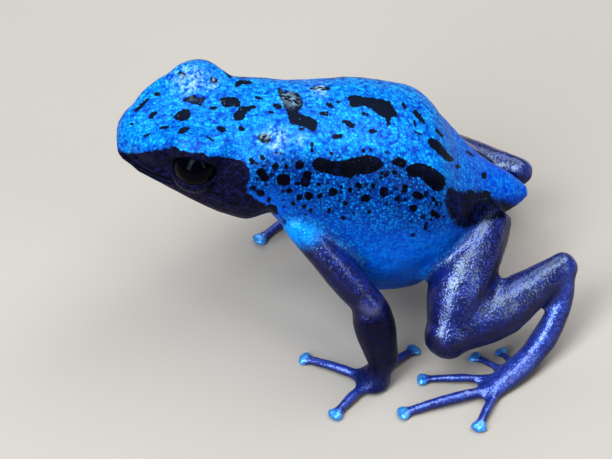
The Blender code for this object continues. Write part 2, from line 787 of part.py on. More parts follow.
def main():
    for old in list(bpy.data.objects):
        bpy.data.objects.remove(old)
    core = fused(head_forms() + [trunk_form()], "core", CORE_TRIANGLES)
    nodes = []
    for side in (LEFT, RIGHT):
        for forms, plates, labels in (
            (arm_forms, arm_plates, arm_labels),
            (leg_forms, leg_plates, leg_labels),
        ):
            limb_body = fused(forms(side), "limb", LIMB_TRIANGLES)
            stand_flat(limb_body)
            cut(limb_body, [grown(core, GAP), *plates(side)])
            nodes += named_parts(limb_body, labels(side))
    cut(core, [*face_cutters(surface_of(core)), neck_plate()])
    nodes += named_parts(core, core_labels())
    for sign, side in ((1, LEFT), (-1, RIGHT)):
        nodes.append(eye_ball(f"eye_{side}", sign))
    shift = origin_shift(nodes)
    for node in nodes:
        node.data.transform(Matrix.Translation(shift))
        paint(node)
    return shift


ORIGIN_SHIFT = main()
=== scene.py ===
# %% [markdown]
# # A blue poison dart frog, life size
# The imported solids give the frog's shape and its place. Here they get one continuous wet skin,
# the black markings, the eyes, and a small photo set of floor, light and camera.
# Sizes are written in millimetres and become metres where a mesh is made.

import math
import re

import bmesh
import bpy
import numpy as np
from mathutils import Matrix, Vector, noise
from mathutils.bvhtree import BVHTree
from mathutils.kdtree import KDTree


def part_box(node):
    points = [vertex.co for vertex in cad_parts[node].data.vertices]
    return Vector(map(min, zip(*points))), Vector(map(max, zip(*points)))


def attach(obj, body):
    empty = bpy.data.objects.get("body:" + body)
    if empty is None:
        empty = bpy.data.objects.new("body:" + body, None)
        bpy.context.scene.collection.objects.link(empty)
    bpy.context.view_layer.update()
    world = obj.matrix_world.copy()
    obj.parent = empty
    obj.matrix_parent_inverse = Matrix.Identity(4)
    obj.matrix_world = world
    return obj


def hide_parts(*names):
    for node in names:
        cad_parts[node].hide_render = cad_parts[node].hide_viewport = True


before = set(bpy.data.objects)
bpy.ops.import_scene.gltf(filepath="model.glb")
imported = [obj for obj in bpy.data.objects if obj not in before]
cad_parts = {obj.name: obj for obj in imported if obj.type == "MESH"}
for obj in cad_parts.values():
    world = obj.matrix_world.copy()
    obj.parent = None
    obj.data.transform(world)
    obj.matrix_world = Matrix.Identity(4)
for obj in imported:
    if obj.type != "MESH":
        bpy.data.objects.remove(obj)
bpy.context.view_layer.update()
scene = bpy.context.scene
MM = 0.001

# %% [markdown]
# ## The camera
# It comes first, because the markings are placed through it: a mark that is seen at a pixel
# of the 612 by 459 picture is put where the ray through that pixel meets the skin. A long lens
# from 260 mm away suits a small animal that fills the frame, and shows hardly any perspective.

# %% The camera, and the pixel that a place is seen at
WIDE, HIGH = 612, 459
FOCUS_PX = 2782.0
LENS_AWAY = 260.0
PX_PER_MM = FOCUS_PX / LENS_AWAY
AZIMUTH, ELEVATION = math.radians(-8), math.radians(45)
LENS_PLACE = np.array((-29.75, -184.236, 195.848))
ACROSS = np.array((math.cos(AZIMUTH), math.sin(AZIMUTH), 0.0))
LEVEL_BACK = np.array((math.sin(AZIMUTH), -math.cos(AZIMUTH), 0.0))
BACK = LEVEL_BACK * math.cos(ELEVATION) + np.array((0, 0, 1)) * math.sin(ELEVATION)
UPWARD = np.cross(BACK, ACROSS)


def put(name, data, place=(0, 0, 0), way=None):
    """Puts an object into the scene, at a place in metres, that looks along a direction."""
    made = bpy.data.objects.new(name, data)
    scene.collection.objects.link(made)
    made.location = place
    if way is not None:
        made.rotation_mode = "QUATERNION"
        made.rotation_quaternion = way.to_track_quat("-Z", "Y")
    return made


lens = bpy.data.cameras.new("camera")
lens.sensor_width = 36.0
lens.lens = FOCUS_PX / WIDE * 36.0
lens.clip_start, lens.clip_end = 0.01, 10.0
scene.camera = put("camera", lens, Vector(LENS_PLACE) * MM, Vector(-BACK))


def lengths(vectors):
    """The length of each row."""
    return np.linalg.norm(vectors, axis=1)


def seen_at(places):
    """The pixel that each place, in millimetres, is seen at."""
    offset = np.atleast_2d(places) - LENS_PLACE
    depth = -(offset @ BACK)
    u = WIDE / 2 + FOCUS_PX * (offset @ ACROSS) / depth
    return np.stack([u, HIGH / 2 - FOCUS_PX * (offset @ UPWARD) / depth], 1)


def ray_through(u, v):
    """The direction from the camera through a pixel."""
    way = ACROSS * (u - WIDE / 2) - UPWARD * (v - HIGH / 2) - BACK * FOCUS_PX
    return Vector(way / np.linalg.norm(way))


print("lens", round(lens.lens, 1), "mm")

# %% [markdown]
# ## The head's own axes
# The lids, lips, nostrils and eardrums are placed on the head by how far they are back from the
# snout, to the frog's left, and up. The eyeballs are solids of their own, so the line between
# them fixes these axes to the model.

# %% Where the eyes are, and places on the head
EYE_RADIUS = 2.163
EYE_RADII = (EYE_RADIUS, EYE_RADIUS, EYE_RADIUS * 1.17)
EYE_BACK, EYE_UP = 7.2, 1.05
EYE_LOOKS = (-0.22, 0.93, 0.3)
SIDES = {"left": 1.0, "right": -1.0}
eye_place = {}
for side in SIDES:
    node_points = [v.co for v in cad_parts["eye_" + side].data.vertices]
    eye_place[side] = sum(node_points, Vector()) / len(node_points) / MM
HEAD_LEFT = (eye_place["left"] - eye_place["right"]).normalized()
HEAD_LEFT = Vector((HEAD_LEFT.x, HEAD_LEFT.y, 0)).normalized()
HEAD_BACK = Vector((13.5, -1.75, -1.1)).normalized()
HEAD_UP = HEAD_LEFT.cross(HEAD_BACK).normalized()
SNOUT = (eye_place["left"] + eye_place["right"]) / 2 - HEAD_BACK * EYE_BACK - HEAD_UP * EYE_UP
print("eyes", {k: [round(c, 2) for c in p] for k, p in eye_place.items()}, "snout", SNOUT)


def on_head(back, left, up):
    """The place that far back from the snout, to the left, and up."""
    return SNOUT + HEAD_BACK * back + HEAD_LEFT * left + HEAD_UP * up


def head_axes_of(places, start=SNOUT):
    """How far each place is back from the snout, or another start, to the left, and up."""
    return (places - np.array(start)) @ np.array((HEAD_BACK, HEAD_LEFT, HEAD_UP)).T


def eye_axes(sign):
    """The eye's own axes: along the head, up, and out of the head."""
    back, left, up = EYE_LOOKS
    out = (HEAD_BACK * back + HEAD_LEFT * left * sign + HEAD_UP * up).normalized()
    up = (HEAD_UP - out * HEAD_UP.dot(out)).normalized()
    return Matrix((up.cross(out), up, out)).transposed()


# %% [markdown]
# ## One skin
# A frog's skin runs over every joint without a seam, but the solids are parted there by thin
# gaps. Copies of the solids' meshes are joined, swollen a little so that the gaps close, and
# wrapped by a voxel remesh. The wrap is then shrunk by the same amount and smoothed. A sculpted
# mesh over the whole frog was the other way, but it would drift from the solids.

# %% The solids as one mesh
flesh = sorted(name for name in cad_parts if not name.startswith("eye_"))
solids = bmesh.new()
part_layer = solids.faces.layers.int.new("part")
for index, name in enumerate(flesh):
    before = len(solids.faces)
    solids.from_mesh(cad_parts[name].data)
    solids.faces.ensure_lookup_table()
    for face in solids.faces[before:]:
        face[part_layer] = index
bmesh.ops.remove_doubles(solids, verts=solids.verts[:], dist=1e-6)
solids.faces.ensure_lookup_table()
part_of_face = np.array([face[part_layer] for face in solids.faces])
solid_tree = BVHTree.FromBMesh(solids)
print("flesh solids", len(flesh), "faces", len(solids.faces))

# %% The sockets filled, so that the wrap is closed over each eye
SOCKET_FILL = 0.42


def eye_ball(form, side, segments, more=0.0):
    """Adds the eyeball of one side to a bmesh, larger by more on each radius."""
    ball = bmesh.ops.create_uvsphere(
        form, u_segments=segments, v_segments=segments // 2, radius=1.0
    )
    size = Matrix.Diagonal([(radius + more) * MM for radius in EYE_RADII]).to_4x4()
    place = Matrix.Translation(eye_place[side] * MM) @ eye_axes(SIDES[side]).to_4x4() @ size
    bmesh.ops.transform(form, matrix=place, verts=ball["verts"])


for side in SIDES:
    eye_ball(solids, side, 32, SOCKET_FILL)
print("sockets filled, faces", len(solids.faces))


# %% The wrap
SWELL = 0.2
GRAIN = 0.245


def new_object(name, form):
    """An object at the origin that holds a finished bmesh."""
    mesh = bpy.data.meshes.new(name)
    form.to_mesh(mesh)
    form.free()
    return put(name, mesh)


rough = new_object("wrap", solids)
swell = rough.modifiers.new("swell", "DISPLACE")
swell.mid_level, swell.strength = 0.0, SWELL * MM
wrap = rough.modifiers.new("wrap", "REMESH")
wrap.mode, wrap.voxel_size, wrap.adaptivity = "VOXEL", GRAIN * MM, 0.0
bpy.context.view_layer.update()
wrapped = bpy.data.meshes.new_from_object(
    rough.evaluated_get(bpy.context.evaluated_depsgraph_get())
)
bpy.data.objects.remove(rough)
print("wrap", len(wrapped.vertices), "points")

# %% [markdown]
# The lids, lips and nostrils need finer faces than the flank does, so the faces close to them
# are halved once before anything is shaped.

# %% Finer faces at the eyes, mouth and nostrils
MOUTH_BACKS = (0.0, 0.45, 1.3, 2.8, 5.0, 7.5, 9.3)
MOUTH_HALVES = (0.0, 2.09, 2.98, 4.08, 5.18, 6.1, 6.62)
MOUTH_HEIGHTS = (-0.6, -0.7, -0.8, -0.95, -1.05, -1.15, -1.12)
DETAIL_END = on_head(13, 0, 0).x
DETAIL_REACH = 0.9
mouth_guide = []
for sign in SIDES.values():
    for back in MOUTH_BACKS[-1] * np.linspace(0, 1, 500) ** 1.5:
        half = np.interp(back, MOUTH_BACKS, MOUTH_HALVES)
        mouth_guide.append(on_head(back, sign * half, np.interp(back, MOUTH_BACKS, MOUTH_HEIGHTS)))
pits = [on_head(2.1, sign * 3.0, 0.3) for sign in SIDES.values()]


def tree_of(places):
    """A search tree that finds the nearest of some places."""
    tree = KDTree(len(places))
    for index, place in enumerate(places):
        tree.insert(place, index)
    tree.balance()
    return tree


mouth_tree, pit_tree = tree_of(mouth_guide), tree_of(pits)
fine = bmesh.new()
fine.from_mesh(wrapped)
near_detail = []
for face in fine.faces:
    middle = face.calc_center_median() / MM
    if middle.x > DETAIL_END:
        continue
    from_eyes = [(middle - place).length for place in eye_place.values()]
    at_lid = min(abs(away - EYE_RADIUS - 0.5) for away in from_eyes) < 0.6
    at_line = min(mouth_tree.find(middle)[2], pit_tree.find(middle)[2]) < DETAIL_REACH
    if at_line or (at_lid and min(from_eyes) < 3.6):
        near_detail.append(face)
edges = list({edge for face in near_detail for edge in face.edges})
bmesh.ops.subdivide_edges(fine, edges=edges, cuts=1, use_grid_fill=True)
skin = new_object("frog_skin", fine)
bpy.data.meshes.remove(wrapped)
print("after refining", len(skin.data.vertices), "points")

# %% The mesh as arrays, and its smoothing
mesh = skin.data
count = len(mesh.vertices)
points = np.empty(count * 3)
mesh.vertices.foreach_get("co", points)
points = points.reshape(-1, 3) / MM
pairs = np.empty(len(mesh.edges) * 2, np.int32)
mesh.edges.foreach_get("vertices", pairs)
pairs = pairs.reshape(-1, 2)
starts, ends = np.concatenate([pairs, pairs[:, ::-1]]).T
valence = np.bincount(starts, minlength=count)


def neighbour_mean(values):
    """The mean of each point's neighbours, for one value a point or for several."""
    columns = values.reshape(count, -1).T
    means = [np.bincount(starts, column[ends], count) / valence for column in columns]
    return np.stack(means, 1).reshape(values.shape)


def spread(values, rounds):
    """Values on the skin, evened out over their neighbours."""
    for _ in range(rounds):
        values = 0.5 * values + 0.5 * neighbour_mean(values)
    return values


def relaxed(places, weight, rounds, shrink=0.6, regrow=-0.606):
    """Smoothing in pairs of steps, in and out, which keeps the volume."""
    weight = weight[:, None]
    for _ in range(rounds):
        for step in (shrink, regrow):
            places = places + step * weight * (neighbour_mean(places) - places)
    return places


def stepped(values, low, high):
    """0 below low, 1 above high, and a smooth rise between them."""
    t = np.clip((values - low) / (high - low), 0, 1)
    return t * t * (3 - 2 * t)


def outward_of(places):
    """The skin's own outward direction at each point."""
    mesh.vertices.foreach_set("co", (places * MM).ravel())
    mesh.update()
    found = np.empty(count * 3)
    mesh.vertex_normals.foreach_get("vector", found)
    return found.reshape(-1, 3)


# %% Which solid each point of the skin belongs to
part = np.empty(count, int)
for index, place in enumerate(points):
    part[index] = part_of_face[solid_tree.find_nearest(place * MM)[2]]
names = np.array(flesh)[part]
kind = np.array([re.sub("_[0-9]|_left|_right", "", name) for name in flesh])[part]
print({k: int((kind == k).sum()) for k in sorted(set(kind))})


def by_kind(table, rounds, other=0.0):
    """Each point's value by the kind of solid that it belongs to, evened out."""
    return spread(np.array([table.get(name, other) for name in kind]), rounds)


# %% [markdown]
# Smoothing is strong on the trunk, whose solid has large faces, and light on the toes, which
# are only a millimetre thick.

# %% Shrunk back and smoothed
SOFTNESS = {
    "torso": 1.0, "thigh": 0.9, "head": 0.85, "shank": 0.85, "forearm": 0.8, "upper_arm": 0.65,
    "tarsus": 0.6, "hand": 0.45, "foot": 0.45, "finger": 0.3, "toe": 0.3,
}
weight = by_kind(SOFTNESS, 6)
points = relaxed(points, weight, 5)
points = points - SWELL * outward_of(points)
points = relaxed(points, weight, 70)
print("smoothed, now", np.ptp(points, axis=0).round(2), "mm")

# %% The roots of the limbs and the neck drawn into fillets
# Each: the two parts that meet, how far the fillet reaches, and its rounds of smoothing
FILLETS = (
    ("torso", "upper_arm", 0.7, 3), ("torso", "thigh", 1.3, 8), ("torso", "head", 3.0, 30),
    ("upper_arm", "forearm", 1.2, 8), ("thigh", "shank", 1.2, 6), ("shank", "tarsus", 0.9, 5),
    ("forearm", "hand", 1.0, 8), ("tarsus", "foot", 0.9, 6), ("hand", "finger", 0.6, 5),
    ("foot", "toe", 0.6, 5),
)


def seam_of(first, second):
    """The edges of the skin, as pairs of points, that run between two kinds of solid."""
    kinds = kind[pairs]
    return pairs[(kinds == first).any(axis=1) & (kinds == second).any(axis=1)]


for first, second, reach, rounds in FILLETS:
    seam = tree_of(points[seam_of(first, second)[:, 0]])
    amount = np.zeros(count)
    for index in np.flatnonzero((kind == first) | (kind == second)):
        away = seam.find(points[index])[2]
        if away < reach:
            amount[index] = 0.6 * (1 - (away / reach) ** 2) ** 2
    for _ in range(rounds):
        points += amount[:, None] * (neighbour_mean(points) - points)
    print("fillet", first, second, int((amount > 0).sum()), "points")

# %% [markdown]
# Seen from outside, the eye is a broad low mound, not a ball set on the head: the hollows in
# front of it and behind it are filled with muscle and skin. Points there move outwards as far
# as their neighbours ask, and never inwards, so the hollows fill and the crown stays.

# %% The hollows round the upper side of the eyes
HOLLOW_ROUNDS = 900
HOLLOW_REACH = 5.2
in_hollow = np.zeros(count)
for side, sign in SIDES.items():
    offset = head_axes_of(points, eye_place[side])
    away = lengths(offset * (0.65, 1.0, 1.0))
    above = np.clip((offset[:, 2] - 0.4 * sign * offset[:, 1] + 0.3) / 1.2, 0, 1)
    in_hollow = np.maximum(in_hollow, above * np.clip((HOLLOW_REACH - away) / 1.6, 0, 1))
chosen = np.flatnonzero(in_hollow > 0)
rank = np.full(count, -1)
rank[chosen] = np.arange(len(chosen))
linked = rank[starts] >= 0
near_starts, near_ends = rank[starts[linked]], ends[linked]
share = in_hollow[chosen] / valence[chosen]
for step in range(HOLLOW_ROUNDS):
    if step % 40 == 0:
        raised = outward_of(points)[chosen]
    run = points[near_ends] - points[chosen][near_starts]
    rise = np.sum(run * raised[near_starts], axis=1)
    lift = share * np.maximum(np.bincount(near_starts, rise, len(chosen)), 0)
    points[chosen] += raised * lift[:, None]
print("points in the hollows", int((in_hollow > 0).sum()))

# %% The brow, a low ridge in front of each eye and behind it
# Each line: how far back, how far out, length and width of the swelling, and its height
BROWS = ((5.3, 3.9, 1.5, 1.5, 1.15), (9.4, 4.0, 1.1, 1.6, 0.55))
for sign in SIDES.values():
    seen = head_axes_of(points)
    side_way = np.array(HEAD_UP + HEAD_LEFT * sign * 0.8)
    side_way /= np.linalg.norm(side_way)
    upper = stepped(seen[:, 2], 0.4, 2.0) * (kind == "head")
    for back, out, long, wide, high in BROWS:
        share = ((seen[:, 0] - back) / long) ** 2 + ((seen[:, 1] * sign - out) / wide) ** 2
        points += (high * upper * np.exp(-share))[:, None] * side_way
print("brows", len(BROWS) * 2)

# %% [markdown]
# ## The face
# On the living frog the lids are two thick folds that lie tight on the eyeball, the mouth is a
# fine line between two soft lips, the nostrils are small pits near the tip of the snout, and the
# eardrum is a round disc with a faint rim. Each is a change of height on the skin, worked out
# from the distance to its own middle line.

# %% Lids that lie on the eyeball
OPEN_LONG, OPEN_HIGH = 2.05, 1.3


def eye_fit(places, sign, side):
    """For each place: the direction from the middle of the eye, its height over the eyeball, and
    how far it is outside the opening between the lids, in millimetres along the eyeball."""
    turn = np.array(eye_axes(sign))
    local = (places - np.array(eye_place[side])) @ turn
    length = lengths(local)
    way = local / length[:, None]
    reach = 1 / lengths(way / EYE_RADII)
    along, up = way[:, 0] * reach / OPEN_LONG, (way[:, 1] * reach + 0.05) / OPEN_HIGH
    oval = np.sqrt(along**2 + up**2)
    slope = np.sqrt((along / OPEN_LONG) ** 2 + (up / OPEN_HIGH) ** 2) / np.maximum(oval, 1e-6)
    outside = np.where(way[:, 2] > 0, (oval - 1) / slope, 2.0)
    return way @ turn.T, reach, length - reach, outside


lid_edge = np.full(count, 3.0)
for side, sign in SIDES.items():
    way, reach, height, outside = eye_fit(points, sign, side)
    near = height < 2.0
    thick = 0.6 + 1.1 * stepped(way @ np.array(HEAD_UP), 0.25, 0.8)
    lid = 0.1 + thick * (1 - np.exp(-np.maximum(outside, 0) / 0.5))
    wanted = np.minimum(height, lid)
    share = (1 - stepped(outside, 0.6, 1.9)) * (1 - stepped(height, 0.8, 1.9)) * near
    settled = height + (wanted - height) * share
    amount = 0.5 * near * stepped(outside, 0.15, 0.6) * (1 - stepped(outside, 2.2, 3.0))
    places = np.array(eye_place[side]) + way * (reach + settled)[:, None]
    for _ in range(12):
        places += amount[:, None] * (neighbour_mean(places) - places)
    points = np.where(near[:, None], places, points)
    way, reach, height, outside = eye_fit(points, sign, side)
    opened = height + (-0.35 - height) * stepped(-outside, -0.04, 0.07) * near
    places = np.array(eye_place[side]) + way * (reach + opened)[:, None]
    points = np.where((near & (outside < 0.1))[:, None], places, points)
    lid_edge = np.where(near, np.minimum(lid_edge, np.abs(outside)), lid_edge)
    print("lids", side, int((near & (outside < 0)).sum()), "points inside the opening")

# %% The line of the mouth, the lips, the nostrils and the eardrums
EAR_RADIUS = 1.12
FAR = 9.0
raised = outward_of(points)


def surface_tree(places):
    """A search tree of the skin's faces."""
    corners = [tuple(face.vertices) for face in mesh.polygons]
    return BVHTree.FromPolygons([Vector(p) for p in places], corners)


skin_tree = surface_tree(points)


def on_skin(place):
    """The nearest place on the skin."""
    return np.array(skin_tree.find_nearest(Vector(place))[0])


def bell(distance, width, middle=0.0):
    """1 at the middle of a ridge, and near 0 at twice its width from there."""
    return np.exp(-(((distance - middle) / width) ** 2))


def ridged(places, distance, *ridges):
    """Places with ridges or grooves. Each has its height, how far out its middle is, and width."""
    for height, middle, width in ridges:
        places = places + raised * (height * bell(distance, width, middle))[:, None]
    return places


mouth_line = np.array([on_skin(place) for place in mouth_guide]).reshape(2, -1, 3)
for _ in range(60):
    between = (mouth_line[:, :-2] + mouth_line[:, 2:]) / 2
    mouth_line[:, 1:-1] += 0.5 * (between - mouth_line[:, 1:-1])
mouth_line = tree_of(mouth_line.reshape(-1, 3))
at_mouth, at_nostril, at_ear = np.full((3, count), FAR)
for index in np.flatnonzero((kind == "head") & (points[:, 0] < DETAIL_END)):
    at_mouth[index] = mouth_line.find(points[index])[2]
points = ridged(points, at_mouth, (-0.17, 0.0, 0.11), (0.07, 0.42, 0.24))
for pit, sign in zip(pits, SIDES.values()):
    nostril = on_skin(pit)
    at_nostril = np.minimum(at_nostril, lengths(points - nostril))
    ear = on_skin(on_head(10.4, sign * 8.0, -0.35))
    at_ear = np.minimum(at_ear, lengths(points - ear))
    print("nostril seen at", seen_at(nostril).round(0), "ear seen at", seen_at(ear).round(0))
points = ridged(points, at_nostril, (-0.34, 0.0, 0.19), (0.06, 0.42, 0.16))
points = ridged(points, at_ear, (-0.09, EAR_RADIUS, 0.17), (0.05, EAR_RADIUS + 0.35, 0.2))

# %% [markdown]
# ## Chest and elbows
# Seen by the camera, the upper arm hides the whole chest, so the chest is drawn up behind the
# lower edge of the arm, on both sides of the body alike. The elbow ends in a small hard knob with
# a fold under it. The left one is set by the picture point that it is seen at, and the right one
# by the same step from its own joint, mirrored.

# %% The chest drawn up
MIDDLE_Y = 0.16
CHEST_END = 1.5
ARM_EDGE = np.array(((275.0, 222.0), (345.0, 303.0)))
along_edge = (ARM_EDGE[1] - ARM_EDGE[0]) / np.linalg.norm(ARM_EDGE[1] - ARM_EDGE[0])
below_edge = np.array((-along_edge[1], along_edge[0]))
draw_way = -(ACROSS * below_edge[0] - UPWARD * below_edge[1])
draw_way[1] = 0.0
draw_way /= draw_way @ draw_way
near_side = points.copy()
near_side[:, 1] = MIDDLE_Y - np.abs(points[:, 1] - MIDDLE_Y)
beyond = (seen_at(near_side) - ARM_EDGE[0]) @ below_edge / PX_PER_MM + 0.9
beyond = np.maximum(beyond, 0)
on_chest = spread((kind == "torso") * stepped(CHEST_END - points[:, 0], 0.0, 3.0), 4)
drawn = on_chest * beyond**2 / (beyond + 0.8)
points += drawn[:, None] * draw_way
print("chest drawn up by at most", drawn.max().round(2), "mm")

# %% The elbows
ELBOW_SEEN = (373, 305)
KNOB_HIGH, KNOB_WIDE = 0.42, 0.75
FOLD_DEEP, FOLD_AWAY, FOLD_WIDE = 0.2, 1.35, 0.3
on_arm = np.isin(kind, ("upper_arm", "forearm"))
left_knob = np.array(skin_tree.ray_cast(Vector(LENS_PLACE), ray_through(*ELBOW_SEEN))[0])
at_elbow = seam_of("forearm", "upper_arm").ravel()
joints = {}
for side in SIDES:
    joints[side] = points[at_elbow[np.char.endswith(names[at_elbow], side)]].mean(axis=0)
arm_end_away, knob_away = np.full((2, count), np.inf)
for side, sign in SIDES.items():
    forearm = np.array(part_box("forearm_" + side)).mean(axis=0) / MM
    away = lengths(points - forearm)
    arm_end = points[np.argmin(np.where(kind == "upper_arm", away, np.inf))] + (0, 0, 0.2)
    arm_end_away = np.minimum(arm_end_away, lengths(points - arm_end))
    knob = on_skin(joints[side] + (left_knob - joints["left"]) * (1, sign, 1))
    away = lengths(points - knob)
    knob_away = np.minimum(knob_away, away)
    swelling = KNOB_HIGH * bell(away, KNOB_WIDE)
    below = stepped(knob[2] - points[:, 2], 0.1, 0.9)
    fold = FOLD_DEEP * bell(away, FOLD_WIDE, FOLD_AWAY) * below
    points += outward_of(points) * ((swelling - fold) * on_arm)[:, None]
    print("elbow", side, knob.round(2), "seen at", seen_at(knob).round(0))

# %% [markdown]
# ## Unevenness of the flesh
# Under the skin there are muscle, gut and folds, so no part of it is as even as a moulded toy.
# Noise in three sizes moves the surface by less than a tenth of a millimetre, and by less on
# the head and the toes.

# %% Low swellings
LUMPS = {"torso": 0.07, "head": 0.03, "thigh": 0.06, "shank": 0.06, "finger": 0.015, "toe": 0.015}
OTHER_LUMP = 0.045
uneven = np.array([noise.fractal(Vector(p) * 0.42, 0.6, 2.0, 3) for p in points])
lump = by_kind(LUMPS, 10, OTHER_LUMP)
points += outward_of(points) * (uneven * lump * (1 - bell(lid_edge, 0.8)))[:, None]
print("swellings up to", np.abs(uneven * lump).max().round(3), "mm")

# %% [markdown]
# A digit ends in a wide disc, and on its upper side this frog has a pair of small shields with
# a groove between them.

# %% The discs of the digits
DISC_RADIUS = 0.8
DIGITS = [("finger", "hand", n) for n in range(1, 5)] + [("toe", "foot", n) for n in range(1, 6)]
disc_middles, disc_ways = [], []
for side in SIDES:
    for limb, root, number in DIGITS:
        low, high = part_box(f"{root}_{side}")
        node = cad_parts[f"{limb}_{number}_{side}"]
        digit = np.array([v.co for v in node.data.vertices]) / MM
        away = lengths(digit - np.array(low + high) / 2 / MM)
        tip = digit[away > away.max() - 0.5].mean(axis=0)
        way = tip - digit.mean(axis=0)
        way[2] = 0
        way /= np.linalg.norm(way)
        disc_middles.append(tip - way * 0.25)
        disc_ways.append(way)
outward = outward_of(points)
at_disc = np.full(count, FAR)
for middle, way in zip(disc_middles, disc_ways):
    offset = points - middle
    along, sideways = offset @ way, offset @ np.array((-way[1], way[0], 0))
    away = lengths(offset)
    from_disc = np.where(along > -0.45, away, 0.6 - along)
    at_disc = np.where(away < np.abs(at_disc), from_disc, at_disc)
    top = (away < DISC_RADIUS) & (outward[:, 2] > 0.25)
    groove = 0.07 * bell(sideways, 0.12) * stepped(DISC_RADIUS - away, 0, 0.3)
    points[:, 2] -= np.where(top, groove, 0)
on_disc = 1 - stepped(at_disc, 0.75, 1.1)
print("discs", len(disc_middles), "points on them", int((on_disc > 0.5).sum()))

# %% The finished shape
LOWEST = 0.02
points[:, 2] = np.maximum(points[:, 2], LOWEST)
outward = outward_of(points)
for face in mesh.polygons:
    face.use_smooth = True
skin_tree = surface_tree(points)
pixels = seen_at(points)
print("lowest point", points[:, 2].min().round(3), "faces", len(mesh.polygons))


def facing_lens(places, ways):
    """How directly each way faces the lens: 1 is straight at it, and 0 edge on."""
    to_lens = LENS_PLACE - places
    return np.sum(ways * to_lens, axis=1) / lengths(to_lens)


def keep(name, values):
    """Writes one value for each point of the skin, for the material to read."""
    layer = mesh.attributes.new(name, "FLOAT", "POINT")
    layer.data.foreach_set("value", np.asarray(values, np.float32))
    print(name, round(float(values.min()), 2), "to", round(float(values.max()), 2))


# %% [markdown]
# ## Where the colours are
# The blue of the back, the darker violet limbs, the brighter feet and the pale discs follow the
# body's own parts, so each point takes its share from the solid that it came from, evened out so
# that one colour runs into the next. Other shares come from the way that the skin faces.

# %% The regions
BODY = ("head", "torso")
FEET = ("tarsus", "foot", "hand", "finger", "toe")
on_limb = by_kind(dict.fromkeys(BODY, 0.0), 9, 1.0)
keep("limb", on_limb)
keep("foot", by_kind(dict.fromkeys(FEET, 1.0), 30))
keep("disc", on_disc)
keep("digit", np.clip(at_disc, 0, 6))
keep("arm_root", by_kind({"upper_arm": 1.0}, 10) * stepped(arm_end_away, 7.4, 9.2))
keep("fold", at_mouth)

# %% The regions that depend on which way the skin faces
# Painted shade: the forearm, the hand and the skin that faces down get a darker colour and less
# coat
SHADE_BY_KIND = {"forearm": 1.0, "hand": 0.95, "finger": 0.3}
shade_facing_down = spread(0.9 * stepped(-outward[:, 2], -0.8, -0.2), 4)
dim = np.maximum(by_kind(SHADE_BY_KIND, 12), shade_facing_down)
keep("dim", dim * (1 - np.exp(-((knob_away / 1.2) ** 4))))
keep("belly", spread(stepped(-outward[:, 2], -0.4, 0.3) * (1 - on_limb), 12))
# Where the skin faces sideways the flank blue goes, partly as painted shade
keep("side", spread(stepped(np.abs(outward[:, 1]), 0.6, 0.88) * (1 - on_limb), 8))

# %% [markdown]
# The side of the face is near black, from the tip of the snout over the eye to the eardrum. Its
# border is drawn once on the near side as a line of picture points, and the far side takes the
# same border through the mirror plane of the head.

# %% The black face
FACE_BORDER = (
    112, 150, 128, 153, 140, 153, 152, 151, 165, 149, 172, 146, 180, 150, 190, 152, 200, 154, 212,
    157, 226, 158, 240, 160, 246, 164, 249, 170, 249, 180, 245, 186, 248, 193, 256, 199, 266, 205,
    277, 214, 285, 222, 262, 250, 200, 232, 100, 180,
)
FACE_END, OUTSIDE = -3.0, 4.0


def line_distance(places, start, end):
    """How far each place is from the straight line between two places."""
    start, run = np.array(start, float), np.subtract(end, start, dtype=float)
    share = np.clip((places - start) @ run / max(run @ run, 1e-9), 0, 1)
    return lengths(places - start - share[:, None] * run)


def border_distance(places, border):
    """Distance in pixels from a closed border of picture points, negative inside it."""
    corners = np.array(border, float).reshape(-1, 2)
    inside = np.zeros(len(places), bool)
    nearest = np.full(len(places), np.inf)
    for start, end in zip(corners, np.roll(corners, -1, axis=0)):
        nearest = np.minimum(nearest, line_distance(places, start, end))
        crosses = (start[1] > places[:, 1]) != (end[1] > places[:, 1])
        lean = (end[0] - start[0]) / (end[1] - start[1] or 1e-9)
        inside ^= crosses & (places[:, 0] < start[0] + (places[:, 1] - start[1]) * lean)
    return np.where(inside, -nearest, nearest)


head_places = head_axes_of(points)
mirrored = points - 2 * np.minimum(head_places[:, 1], 0)[:, None] * np.array(HEAD_LEFT)
face_edge = border_distance(seen_at(mirrored), FACE_BORDER) / PX_PER_MM
throat = stepped(-head_places[:, 2], 3.4, 5.2) * stepped(-outward[:, 2], 0.35, 0.8)
face_edge = np.where(points[:, 0] < FACE_END, face_edge + OUTSIDE * throat, FAR)
# On the far side the border ends where its mirror image is hidden from the camera
sideways = np.where(head_places[:, 1] < 0, outward @ np.array(HEAD_LEFT), 0)
mirrored_out = outward - 2 * sideways[:, None] * np.array(HEAD_LEFT)
mirrored_facing = np.sum(mirrored_out * (LENS_PLACE - mirrored), axis=1) / LENS_AWAY
hidden = stepped(-mirrored_facing, -0.3, 0.1)
face_edge += OUTSIDE * hidden * by_kind({"torso": 1.0}, 6)
keep("face", np.clip(face_edge, -2, 2))

# %% [markdown]
# ## The black markings
# Each large mark is given by its outline in picture points, u and v in turn, and each small one
# as a stroke with round ends, by its two ends and its width. A point of the skin takes its
# distance to them in the picture, so that a mark has the shape that is seen, and a limit on its
# distance through space keeps the mark from running over the edge of the body. The material cuts
# the black out of the distance, with ragged edges.

